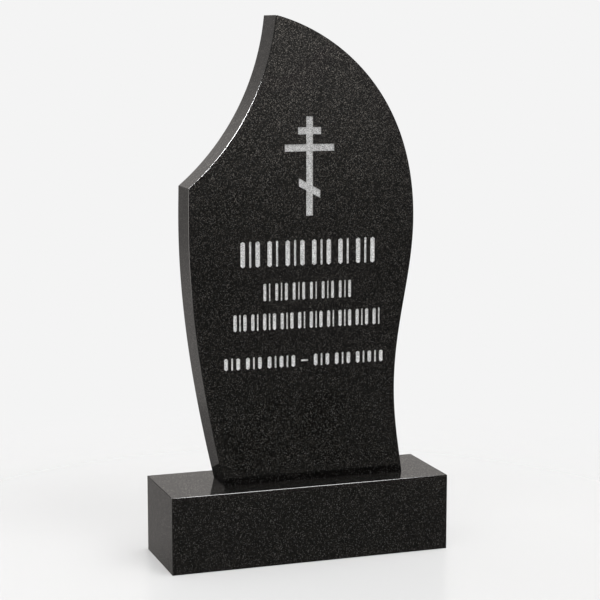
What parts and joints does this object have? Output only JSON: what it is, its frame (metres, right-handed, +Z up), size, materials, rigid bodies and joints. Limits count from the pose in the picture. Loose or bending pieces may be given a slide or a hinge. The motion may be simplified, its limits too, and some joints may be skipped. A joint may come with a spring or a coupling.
{
  "type": "headstone",
  "caption": "Headstone: a flame-shaped stele of polished black stone, engraved with a cross and plain strokes, upright on a rectangular plinth.",
  "frame": {"origin": "centre of the plinth's underside, on the ground", "axes": "+Z up, +X to the right of someone who faces the carved front, +Y into the stone, so the front faces -Y"},
  "size_m": [0.6, 0.2, 1.1169],
  "materials": {
    "polished_black_granite": "polished"
  },
  "bodies": {
    "root": {"stele": "polished_black_granite", "plinth": "polished_black_granite"}
  },
  "joints": []
}
